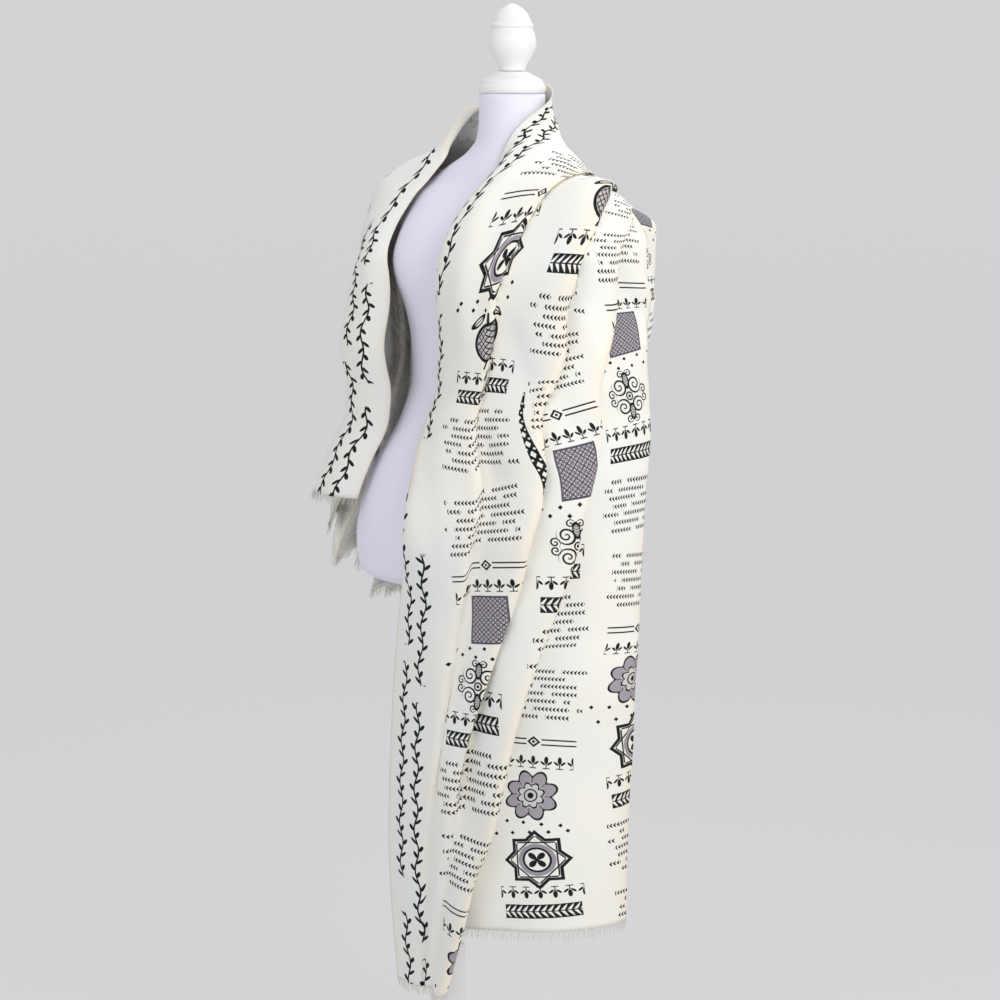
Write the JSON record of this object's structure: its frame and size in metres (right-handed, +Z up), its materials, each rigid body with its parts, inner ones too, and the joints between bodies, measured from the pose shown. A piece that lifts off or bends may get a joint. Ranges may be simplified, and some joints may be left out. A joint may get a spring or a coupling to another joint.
{
  "type": "prayer shawl on a dress form",
  "caption": "Printed prayer shawl with frayed ends, draped in long folds round the shoulders of a limbless dress form on a round turned stand.",
  "frame": {"origin": "centre of the stand's flat underside, on the floor", "axes": "+Z up along the stand, -Y the way the form faces, +X towards the form's left shoulder"},
  "size_m": [0.5412, 0.4329, 1.601],
  "materials": {
    "shawl_cloth": "light plain weave, matt, printed on one side",
    "shawl_fringe": "loose frayed yarn",
    "form_cover": "smooth stretched jersey, matt",
    "stand_paint": "satin white paint",
    "turned_wood_paint": "turned wood under satin white paint"
  },
  "bodies": {
    "root": {"base": "stand_paint", "pole": "stand_paint", "knob": "stand_paint", "rod": "stand_paint", "torso": "form_cover", "neck_cap": "turned_wood_paint", "finial": "turned_wood_paint", "fringe_long_end": "shawl_fringe", "shawl_long_drop": "shawl_cloth", "shawl_neck_wrap": "shawl_cloth", "shawl_short_drop": "shawl_cloth", "fringe_short_end": "shawl_fringe"}
  },
  "joints": []
}
